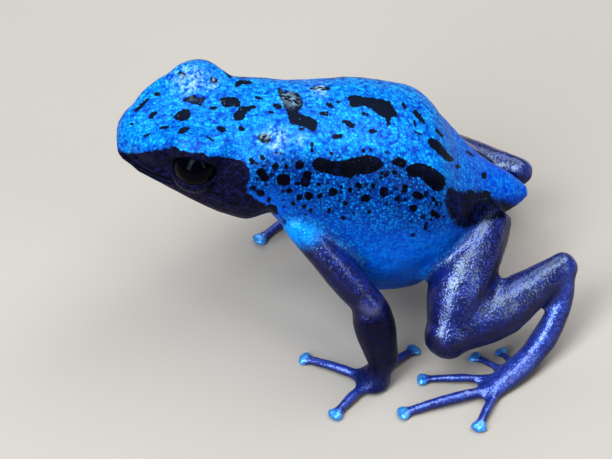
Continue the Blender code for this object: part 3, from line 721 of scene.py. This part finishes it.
# %% The marks of the head, the back and the flank
UPPER_MARKS = (
    (148, 118, 150, 114, 154, 112, 157, 111, 158, 114, 155, 116, 153, 119, 149, 119),
    (169, 114, 174, 115, 179, 111, 184, 109, 190, 110, 191, 118, 186, 120, 177, 120),
    (181, 102, 186, 99, 190, 96, 195, 95, 199, 98, 206, 97, 205, 101, 202, 102, 200, 106, 196,
     104, 191, 103, 186, 101),
    (210, 78, 214, 78, 219, 80, 218, 83, 214, 84, 210, 81),
    (235, 82, 238, 80, 246, 80, 251, 81, 253, 83, 249, 84, 242, 84, 238, 87, 234, 87),
    (219, 98, 226, 97, 236, 97, 241, 101, 240, 107, 245, 106, 254, 105, 257, 107, 250, 110, 246,
     114, 244, 119, 240, 121, 235, 120, 232, 116, 236, 112, 239, 108, 233, 107, 226, 108, 222,
     104),
    (178, 133, 180, 128, 186, 127, 191, 127, 187, 131, 182, 134),
    (215, 127, 219, 126, 225, 128, 226, 131, 222, 132, 218, 130),
    (159, 127, 165, 126, 170, 127, 167, 129, 160, 129),
    (134, 111, 140, 105, 146, 99, 149, 97, 150, 99, 144, 105, 139, 110, 135, 112),
    (277, 88, 281, 88, 284, 92, 290, 91, 297, 93, 302, 99, 303, 105, 300, 110, 297, 112, 304, 115,
     311, 117, 317, 121, 317, 127, 315, 132, 310, 130, 305, 127, 297, 125, 291, 124, 288, 119,
     288, 111, 284, 106, 281, 100, 279, 94),
    (310, 88, 315, 86, 323, 86, 329, 87, 330, 89, 325, 91, 316, 91, 312, 90),
    (326, 102, 330, 103, 334, 107, 331, 108, 327, 105),
    (341, 121, 344, 119, 350, 121, 355, 125, 354, 128, 349, 127, 343, 124),
    (331, 136, 334, 134, 342, 134, 342, 138, 335, 139, 331, 138),
    (368, 130, 372, 129, 377, 131, 377, 133, 371, 134, 368, 132),
    (348, 97, 353, 95, 360, 96, 370, 98, 380, 99, 390, 101, 394, 108, 397, 114, 400, 117, 394,
     117, 390, 118, 390, 125, 387, 127, 386, 119, 380, 116, 376, 111, 370, 108, 363, 106, 355,
     107, 349, 107, 350, 103),
    (257, 138, 260, 134, 266, 133, 271, 136, 271, 141, 266, 144, 260, 142),
    (413, 111, 416, 110, 420, 114, 424, 119, 426, 124, 422, 123, 417, 118, 414, 114),
    (435, 128, 438, 129, 442, 134, 443, 137, 440, 136, 436, 131),
    (428, 140, 431, 138, 436, 140, 443, 147, 450, 155, 454, 160, 450, 162, 444, 159, 436, 152,
     430, 146),
    (413, 131, 418, 131, 422, 134, 420, 136, 415, 133),
    (464, 150, 468, 151, 476, 156, 471, 156),
    (212, 108, 215, 108, 4), (156, 94, 159, 94, 4), (208, 137, 213, 141, 2),
    (143, 136, 150, 134, 2), (131, 124, 133, 125, 3), (180, 74, 183, 75, 5),
    (275, 105, 280, 107, 4), (321, 113, 326, 114, 5), (256, 97, 262, 99, 3),
    (312, 143, 312, 151, 2), (414, 121, 416, 126, 2), (457, 166, 458, 167, 4),
    (484, 174, 484, 177, 5), (363, 113, 367, 115, 3), (337, 101, 340, 103, 3),
    (403, 103, 405, 108, 3), (300, 129, 302, 130, 3), (270, 112, 273, 113, 3),
    (240, 128, 243, 129, 4), (227, 73, 230, 77, 3),
)
FLANK_MARKS = (
    (312, 164, 314, 159, 320, 158, 328, 160, 338, 161, 345, 160, 350, 158, 358, 157, 365, 155,
     373, 156, 380, 159, 384, 164, 380, 169, 374, 172, 366, 175, 357, 174, 351, 178, 344, 177,
     336, 175, 328, 173, 320, 173, 314, 169),
    (392, 160, 396, 157, 402, 158, 407, 162, 404, 167, 398, 167, 393, 164),
    (406, 168, 411, 164, 420, 163, 430, 166, 438, 171, 445, 178, 447, 183, 443, 190, 438, 191,
     432, 189, 426, 184, 421, 178, 414, 177, 408, 175),
    (283, 180, 284, 180, 13), (307, 175, 305, 183, 9), (261, 172, 265, 178, 8),
    (261, 193, 261, 193, 7), (309, 196, 309, 196, 8), (332, 192, 333, 192, 8),
    (270, 210, 272, 210, 12), (299, 165, 300, 165, 8), (275, 166, 276, 166, 6),
    (286, 166, 286, 167, 4), (329, 210, 329, 211, 5), (343, 218, 344, 218, 4),
    (326, 216, 326, 216, 3), (365, 198, 366, 198, 8), (384, 191, 384, 193, 8),
    (413, 208, 415, 208, 7), (416, 195, 419, 196, 7), (405, 187, 405, 190, 6),
    (397, 199, 397, 199, 5), (405, 200, 405, 200, 4), (425, 223, 426, 229, 3),
    (358, 185, 359, 186, 6), (340, 185, 341, 187, 4), (373, 185, 373, 187, 4),
    (382, 172, 381, 178, 3), (300, 196, 299, 198, 5), (320, 195, 320, 196, 5),
    (311, 210, 311, 211, 4), (304, 206, 304, 207, 4), (289, 191, 290, 191, 5),
    (254, 188, 254, 189, 4), (269, 199, 269, 201, 5), (293, 203, 293, 204, 4),
    (394, 172, 395, 173, 5), (386, 175, 386, 175, 4), (353, 213, 353, 214, 4),
    (369, 212, 369, 213, 4), (433, 213, 438, 216, 5), (437, 203, 437, 204, 4),
    (251, 160, 252, 162, 5), (262, 157, 264, 159, 5), (331, 153, 332, 154, 4),
    (338, 157, 339, 157, 3), (363, 151, 364, 151, 3), (350, 190, 350, 190, 4),
    (426, 193, 426, 195, 4), (433, 198, 434, 200, 4), (470, 193, 472, 196, 7),
    (486, 195, 487, 200, 9), (296, 184, 297, 184, 3), (318, 184, 319, 185, 4),
    (345, 203, 345, 204, 4),
)


def laid(u, v):
    """Where the ray through a picture point meets the skin, or its nearest place if it misses."""
    way = ray_through(u, v)
    met = skin_tree.ray_cast(Vector(LENS_PLACE), way)[0]
    return met or on_skin(Vector(LENS_PLACE) + way * (LENS_AWAY + 2.0))


SEARCH_PX = 34
RUN_OVER, RUN_ON = 1.8, 1.4


def marked(into, at, places, marks):
    """Lowers into, the distance to the nearest mark, where the marks are seen at, in pixels."""
    for mark in marks:
        is_stroke = len(mark) == 5
        corners = np.array(mark[:4] if is_stroke else mark, float).reshape(-1, 2)
        middle, reach = corners.mean(axis=0), np.ptp(corners, axis=0).max() + SEARCH_PX
        near = np.flatnonzero(np.abs(at - middle).max(axis=1) < reach)
        if is_stroke:
            away, width = line_distance(at[near], *corners) - mark[4] / 2, 0
        else:
            away, width = border_distance(at[near], mark), np.ptp(corners, axis=0).min() / 2
        start, end = laid(*corners[0]), laid(*corners[len(corners) // 2])
        in_space = line_distance(places[near], start, end) - RUN_OVER * width / PX_PER_MM - RUN_ON
        into[near] = np.minimum(into[near], np.maximum(away / PX_PER_MM, in_space))
    return into


spot = marked(np.full(count, FAR), pixels, points, UPPER_MARKS + FLANK_MARKS)
print("points inside a mark", int((spot < 0).sum()))

# %% [markdown]
# The far flank isn't in the picture. It gets the near flank's marks through the mirror plane of
# the body, bent and shifted by noise, because the two sides of this kind of frog never match.

# %% Marks on the far side
# Vector noise comes out anew in each run unless it is seeded
BEND_SEED = 1795751671
BEND_PX, SHIFT_PX = 9.0, (7, -2)
noise.seed_set(BEND_SEED)
twin = points.copy()
twin[:, 1] = np.where(points[:, 1] > MIDDLE_Y, 2 * MIDDLE_Y - points[:, 1], points[:, 1])
turned = outward.copy()
turned[:, 1] *= np.where(points[:, 1] > MIDDLE_Y, -1, 1)
twin_facing, twin_pixels = facing_lens(twin, turned), seen_at(twin)
is_far = (points[:, 1] > MIDDLE_Y + 2.0) & (twin_facing > 0) & np.isin(kind, BODY)
bends = np.array([noise.noise_vector(Vector(p) * 0.35) for p in points[is_far]])[:, :2]
bent_pixels = twin_pixels[is_far] + bends * BEND_PX + SHIFT_PX
far_spot = marked(np.full(len(bends), FAR), bent_pixels, twin[is_far], FLANK_MARKS)
spot[is_far] = np.minimum(spot[is_far], far_spot)
keep("spot", np.clip(spot, -2, 2))

# %% [markdown]
# The hip is near black, and the flank is dotted. Both follow a border in the picture on each
# side. A few soft pale patches on the back are painted highlights: glare on the wet skin.

# %% The dark hip, the dotted flank and the painted glare
BACK_HEIGHT = 18
HIP = (
    446, 184, 452, 188, 460, 190, 466, 191, 474, 191, 482, 190, 488, 194, 494, 198, 502, 200, 514,
    203, 512, 214, 500, 219, 488, 222, 478, 226, 466, 229, 458, 227, 450, 218, 446, 208, 445, 196,
)
FLANK = (
    250, 158, 300, 155, 392, 155, 405, 160, 446, 180, 448, 226, 420, 232, 380, 216, 345, 219, 322,
    214, 308, 208, 288, 210, 262, 200, 248, 188,
)
# Each patch of painted glare: where it is seen, its radius in picture points and its strength
PAINTED_GLARES = (
    (288, 97, 7, 0.4), (293, 101, 5, 0.7), (264, 138, 6, 0.6), (276, 144, 7, 1.0),
    (320, 89, 6, 1.0), (212, 83, 5, 1.0), (190, 80, 14, 0.75), (276, 138, 11, 0.7),
    (300, 140, 6, 0.4), (312, 84, 12, 0.15),
)
hip = border_distance(twin_pixels, HIP) / PX_PER_MM
on_hip = (twin_facing > -0.1) & np.isin(kind, ("torso", "thigh"))
keep("hip", np.where(on_hip, np.clip(hip, -2, 2), 2.0))
flank = border_distance(twin_pixels, FLANK) / PX_PER_MM
flank_share = stepped(-flank, -0.8, 0.9) * (twin_facing > 0) * (1 - on_limb)
keep("dots", spread(flank_share, 3))
# Painted highlights: where soft glare of the light lies on the wet back
glint = np.zeros(count)
for u, v, radius, strength in PAINTED_GLARES:
    away = lengths(pixels - (u, v))
    glint = np.maximum(glint, strength * bell(away, radius))
glint *= (facing_lens(points, outward) > 0) & (points[:, 2] > BACK_HEIGHT)
keep("glint", glint)

# %% [markdown]
# ## Materials
# Colours are given as sRGB hex values, and one function turns them into the linear values that
# the shader takes. One function adds a node with its settings and links. Patterns read Object
# coordinates scaled to millimetres, so a size of 0.3 is 0.3 mm on the frog.


# %% Helpers for materials
def linear(code):
    """The linear colour of an sRGB hex code."""
    parts = [int(code[i : i + 2], 16) / 255 for i in (1, 3, 5)]
    return (*[c / 12.92 if c <= 0.04045 else ((c + 0.055) / 1.055) ** 2.4 for c in parts], 1.0)


def add(material, kind, *values, **named):
    """Adds a node. Its kind is a name, or a name and settings. The values go to its open sockets
    in their order, or by name. Each is a number, a hex code, or the socket that it is linked
    from, where a node means its first open one."""
    kind, settings = (kind, {}) if isinstance(kind, str) else kind
    node = material.node_tree.nodes.new("ShaderNode" + kind)
    for name, value in settings.items():
        setattr(node, name, value)
    links = list(zip([socket for socket in node.inputs if socket.enabled], values))
    for socket, value in links + [(node.inputs[name], value) for name, value in named.items()]:
        if isinstance(value, bpy.types.Node):
            value = next(output for output in value.outputs if output.enabled)
        if isinstance(value, bpy.types.NodeSocket):
            material.node_tree.links.new(value, socket)
        else:
            socket.default_value = linear(value) if isinstance(value, str) else value
    return node


def new_material(name):
    """A material with no nodes yet."""
    material = bpy.data.materials.new(name)
    material.use_nodes = True
    material.node_tree.nodes.clear()
    return material


OPERATIONS = "MULTIPLY", "MULTIPLY_ADD", "ADD", "SUBTRACT", "MAXIMUM", "LESS_THAN", "POWER", "SINE"
MATHS = [("Math", {"operation": operation}) for operation in OPERATIONS]
TIMES, TIMES_PLUS, PLUS, LESS, LARGER, BELOW, POWER, SINE = MATHS
SMOOTH = ("MapRange", {"interpolation_type": "SMOOTHSTEP"})
MIXED, MESHES = ("Mix", {"data_type": "RGBA"}), ("TexVoronoi", {"feature": "DISTANCE_TO_EDGE"})
print("#808080 is", round(linear("#808080")[0], 3), "when linear")

# %% [markdown]
# ### Wet granular skin
# The skin is covered in round granules a quarter of a millimetre across and is always moist, so
# each granule has its own small highlight. That takes a bump from the granules and a clear coat,
# thin on the body and thick on the limbs. The blue comes from the layers under the skin and is
# never even: single granules are cyan, whole patches are darker, and the gaps between the
# granules are navy.

# %% The skin's patterns
M = new_material("frog_skin_wet_granular")
in_object = add(M, "TexCoord").outputs["Object"]
in_mm = add(M, "Mapping", Vector=in_object, Scale=(1 / MM, 1 / MM, 1 / MM))
LAYERS = "limb foot disc arm_root belly fold face spot hip dots glint dim digit side".split()
layers = {name: add(M, ("Attribute", {"attribute_name": name})).outputs["Fac"] for name in LAYERS}
GRANULE_MM, NET_MM, PATCH_MM, BLOTCH_MM, WAVE_MM, RAGGED_MM = 0.27, 0.42, 0.55, 1.6, 1.1, 0.3
granule = add(M, "TexVoronoi", Vector=in_mm, Scale=1 / GRANULE_MM, Randomness=0.85)
each = add(M, "SeparateColor", granule.outputs["Color"])
patch = add(M, "TexNoise", Vector=in_mm, Scale=1 / PATCH_MM, Detail=3.0, Roughness=0.65)
blotch, ragged, wavy = [
    add(M, "TexNoise", Vector=in_mm, Scale=1 / size, Detail=detail)
    for size, detail in ((BLOTCH_MM, 2.0), (RAGGED_MM, 2.0), (WAVE_MM, 1.0))
]
print(len(layers), "layers,", len(M.node_tree.nodes), "nodes")


# %% Colour laid on in coats
def painted(colour, *coats):
    """Coats of colour over a first one. Each has its colour, its strength and the pattern that it
    follows, and if it sets in between two values of the pattern, those two."""
    for coat, strength, pattern, *edge in coats:
        if edge:
            share = add(M, SMOOTH, pattern, *edge, 0.0, strength)
        else:
            share = add(M, TIMES, pattern, strength)
        colour = add(M, MIXED, share, colour, coat)
    return colour


gap = (granule, 0.3, 0.62)
tone = add(M, TIMES_PLUS, patch, 1.0, -0.35)
for pattern, strength in ((each, 0.3), (blotch, 0.4)):
    tone = add(M, TIMES_PLUS, pattern, strength, tone)
print(len(M.node_tree.nodes), "nodes")

# %% [markdown]
# On the back the blue is a bright azure, with cyan granules and patches of violet blue. The flank
# is darker between its granules, and a navy net runs over it. The real net is too fine to show,
# so it is drawn coarser, with meshes of 0.4 mm. Where the skin faces sideways its darker blue is
# partly the flank's own colour, partly painted shade. The belly is plain and darker at its edges;
# its lowest part is darker still, with painted shade. The blue deepens towards the rump.

# %% The blue of the back, the flank and the belly
blue = painted(
    "#0248AC",
    ("#048CDC", 1.0, tone, 0.28, 0.5),
    ("#24BEF2", 1.0, tone, 0.52, 0.72),
    ("#142AA0", 0.7, tone, 0.34, 0.16),
    ("#0530A0", 0.55, *gap),
)
net = add(M, MESHES, Vector=in_mm, Scale=1 / NET_MM)
net = add(M, LESS, net, add(M, TIMES_PLUS, patch, 0.55, -0.17))
net = add(M, SMOOTH, net, 0.07, -0.03)
flank_blue = painted(
    "#0246AC",
    ("#0A80D8", 1.0, tone, 0.3, 0.62),
    ("#031C64", 0.8, *gap),
    ("#021040", 0.65, add(M, TIMES, net, layers["dots"])),
)
belly_blue = painted(
    "#025CE4",
    ("#047EF4", 1.0, tone, 0.3, 0.6),
    ("#023E9A", 1.0, layers["belly"], 0.95, 0.25),
    ("#0240C8", 0.4, *gap),
    # painted shade on the lowest part of the belly
    ("#022C84", 0.5, layers["belly"], 0.8, 1.0),
)
blue = painted(
    blue,
    # the flank blue, on dotted skin and where it faces sideways: partly own colour, partly painted
    # shade
    (flank_blue, 1.0, add(M, LARGER, layers["dots"], layers["side"])),
    (belly_blue, 1.0, layers["belly"]),
    ("#0430C4", 0.5, add(M, "SeparateXYZ", in_mm), 6.0, 14.0),
)
print(len(M.node_tree.nodes), "nodes")

# %% [markdown]
# The limbs are dark violet, the feet brighter, and the discs pale. The upper arm starts in the
# blue of the body. Behind each disc the digit has a few fine dark rings, painted shade of its
# creases, as a sine of the distance to the disc's middle. The inner side of the arm, the hand and
# all that faces down are darker, with painted shade.

# %% The violet of the limbs, the brighter feet and the pale discs
limb_tone = add(M, TIMES_PLUS, each, 0.35, blotch)
violet = painted("#121450", ("#1C2C98", 1.0, limb_tone, 0.4, 0.95), ("#0C0C3C", 0.5, *gap))
foot_blue = painted("#2A389E", ("#4058C6", 1.0, limb_tone, 0.4, 0.95), ("#171A70", 0.4, *gap))
root_blue = painted("#0470E0", ("#0898F8", 1.0, tone, 0.3, 0.6))
disc_blue = painted("#287EDC", ("#50ACF4", 1.0, tone, 0.3, 0.6))
RING_TURN = 19.0  # radians of the sine a millimetre, so three rings a millimetre
# Painted shade of the fine creases behind each disc, laid as rings
painted_crease_shade = add(M, SINE, add(M, TIMES, layers["digit"], RING_TURN))
painted_crease_shade = add(M, SMOOTH, painted_crease_shade, 0.3, 0.9)
for edge in ((1.15, 1.3), (2.5, 2.0)):
    painted_crease_shade = add(M, TIMES, painted_crease_shade, add(M, SMOOTH, layers["digit"], *edge))
violet = painted(
    violet,
    (foot_blue, 1.0, layers["foot"]),
    # painted shade on the forearm, the hand and all that faces down
    ("#0F0A1C", 0.88, add(M, POWER, layers["dim"], 2.0)),
    (root_blue, 1.0, layers["arm_root"]),
    ("#10104A", 0.6, painted_crease_shade),
    (disc_blue, 1.0, layers["disc"]),
)
colour = painted(blue, (violet, 1.0, layers["limb"]))
print(len(M.node_tree.nodes), "nodes")

# %% [markdown]
# The black is cut out of the distance to the marks, with noise added to it, so its edges are
# ragged from granule to granule. On the back it is a lighter black with pale specks, painted
# highlights of the light above; on the flank it is a clean deep black.
# The flank has hundreds of small dots too, in two sizes of cell, each with its own radius.

# %% The black of the markings, the hip and the small dots
wobble = add(M, TIMES_PLUS, ragged, 0.3, add(M, TIMES_PLUS, wavy, 0.24, -0.27))
is_hip = add(M, SMOOTH, add(M, TIMES_PLUS, wobble, 2.2, layers["hip"]), 0.3, -0.3)
is_mark = add(M, SMOOTH, add(M, PLUS, layers["spot"], wobble), 0.05, -0.02)
is_pale, is_middle = add(M, SMOOTH, each, 0.8, 0.9), add(M, SMOOTH, granule, 0.34, 0.16)
painted_granule_glint = add(M, TIMES, is_pale, is_middle)
hip_black = painted("#040412", ("#0A1850", 1.0, tone, 0.4, 0.75))
# On the back the black is lighter and pale-specked: painted highlights of the light from above
mark_black = painted("#0E1222", ("#5A586C", 1.0, painted_granule_glint), ("#04030C", 1.0, layers["dots"]))
colour = painted(colour, (hip_black, 1.0, is_hip), (mark_black, 1.0, is_mark))
# Each size of dot: its cells in mm, the share of cells with a dot, and the least and most radius
for cell, share, low, high in ((0.95, 0.8, 0.12, 0.3), (0.6, 0.75, 0.14, 0.3)):
    dot = add(M, "TexVoronoi", Vector=in_mm, Scale=1 / cell)
    own = add(M, "SeparateColor", dot.outputs["Color"]).outputs
    inside = add(M, LESS, dot, add(M, TIMES_PLUS, own["Red"], high - low, low))
    inside = add(M, SMOOTH, add(M, TIMES_PLUS, wobble, 0.6, inside), 0.06, -0.04)
    kept = add(M, BELOW, own["Green"], add(M, TIMES, layers["dots"], share))
    colour = painted(colour, ("#060A2A", 0.92, add(M, TIMES, inside, kept)))
print(len(M.node_tree.nodes), "nodes")

# %% The face and the painted glare
face_tone = add(M, TIMES_PLUS, each, 0.15, patch)
face_black = painted("#0A0818", ("#1E1848", 1.0, face_tone, 0.45, 0.8), ("#060410", 0.6, *gap))
is_face = add(M, SMOOTH, add(M, TIMES_PLUS, wobble, 1.5, layers["face"]), 0.14, -0.06)
glare_specks = add(M, SMOOTH, add(M, TIMES_PLUS, each, 0.4, patch), 0.58, 0.9)
colour = painted(
    colour,
    (face_black, 1.0, is_face),
    ("#020103", 1.0, layers["fold"], 0.16, 0.03),
    # painted highlights: pale specks of glare on the back
    ("#B4C8DC", 1.0, add(M, TIMES, glare_specks, layers["glint"])),
)
print(len(M.node_tree.nodes), "nodes")

# %% [markdown]
# The coat of water is the shine of the limbs. It is thin where the skin is black, where the arm
# starts, and on all that faces down. Half of the limbs' own shine is metallic, which tints it
# with the violet under it, as the mirror cells of a frog's skin do.

# %% Granules, and the finished skin
granule_height = add(M, SMOOTH, granule, 0.62, 0.0)
bump = add(M, "Bump", Strength=0.55, Distance=0.05 * MM, Height=granule_height)
bump = add(M, "Bump", Strength=0.35, Distance=0.1 * MM, Height=patch, Normal=bump)
matt = add(M, LARGER, add(M, LARGER, is_mark, is_face), is_hip)
wet = add(M, TIMES_PLUS, layers["limb"], 0.94, 0.06)
for where, loss in ((matt, 0.9), (layers["arm_root"], 0.85), (layers["dim"], 0.95)):
    wet = add(M, TIMES, wet, add(M, TIMES_PLUS, where, -loss, 1.0))
skin_shader = {
    "Base Color": colour,
    "Metallic": add(M, TIMES, layers["limb"], 0.5),
    "Roughness": 0.42,
    "IOR": 1.33,
    "Specular IOR Level": 0.05,
    "Normal": bump,
    "Coat Weight": wet,
    "Coat Roughness": 0.28,
    "Coat IOR": 1.85,
    "Coat Normal": bump,
}
add(M, "OutputMaterial", add(M, "BsdfPrincipled", **skin_shader))
mesh.materials.clear()
mesh.materials.append(M)
print("skin", len(M.node_tree.nodes), "nodes")

# %% [markdown]
# ## The eyes
# The eye of this frog is dark brown to black all over, so iris and pupil hardly part. The wet
# cornea gives it its life: a smooth, clear surface over a nearly black ball.

# %% The eyeballs
eye_material = new_material("eye_wet_cornea")
cornea = {"Base Color": "#030206", "Roughness": 0.08, "IOR": 1.33, "Specular IOR Level": 0.06}
add(eye_material, "OutputMaterial", add(eye_material, "BsdfPrincipled", **cornea))
for side in SIDES:
    ball = bmesh.new()
    eye_ball(ball, side, 64)
    for face in ball.faces:
        face.smooth = True
    eye = new_object("eyeball_" + side, ball)
    eye.data.materials.append(eye_material)
    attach(eye, "root")
    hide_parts("eye_" + side)
    print("eye", side, len(eye.data.polygons), "faces")

# %% The skin takes the place of the flesh solids
mesh.vertices.foreach_set("co", (points * MM).ravel())
mesh.update()
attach(skin, "root")
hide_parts(*flesh)
print("skin in place of", len(flesh), "solids")

# %% [markdown]
# ## Floor, light and sky
# The floor is matt paper, pale and a little warm, which spreads the cool light evenly. Long
# softboxes draw long highlights on wet skin. The largest is above the frog and lights the back, a
# weaker one behind it lights the far limbs, and two narrow ones in front give the streaks along
# the thigh and along the upper arm. The sky is faint and only keeps the shadows from going black.

# %% The floor
floor_form = bmesh.new()
bmesh.ops.create_grid(floor_form, x_segments=1, y_segments=1, size=0.6)
floor = new_object("floor", floor_form)
paper = new_material("backdrop_paper")
matt_paper = {"Base Color": "#D3B3A1", "Roughness": 0.9, "Specular IOR Level": 0.2}
add(paper, "OutputMaterial", add(paper, "BsdfPrincipled", **matt_paper))
floor.data.materials.append(paper)
print("floor", [round(side, 2) for side in floor.dimensions])

# %% The lights and the sky
COOL, COOLER = (0.62, 0.85, 1.0), (0.6, 0.86, 1.0)
# Each softbox: its name, place, length, width, power in watts and colour
SOFTBOXES = (
    ("above", (0.02, -0.025, 0.27), 0.54, 0.12, 1.1, COOL),
    ("behind", (0.0, 0.22, 0.24), 0.36, 0.1, 0.33, COOL),
    ("left_front", (-0.16, -0.16, 0.2), 0.1, 0.28, 0.86, COOLER),
    ("right_front", (0.165, -0.19, 0.17), 0.04, 0.18, 0.15, COOL),
)
AIM = Vector((0.0, 0.0, 0.012))
for name, place, long, wide, power, light_colour in SOFTBOXES:
    lamp = bpy.data.lights.new(name, "AREA")
    lamp.shape, lamp.size, lamp.size_y = "RECTANGLE", long, wide
    lamp.energy, lamp.color = power, light_colour
    put(name, lamp, place, AIM - Vector(place))
sky = bpy.data.worlds.new("sky")
sky.use_nodes = True
sky_light = sky.node_tree.nodes["Background"].inputs
sky_light["Color"].default_value, sky_light["Strength"].default_value = (0.7, 0.86, 1.0, 1.0), 0.08
scene.world = sky
scene.view_settings.view_transform = "Standard"
print("softboxes", len(SOFTBOXES))
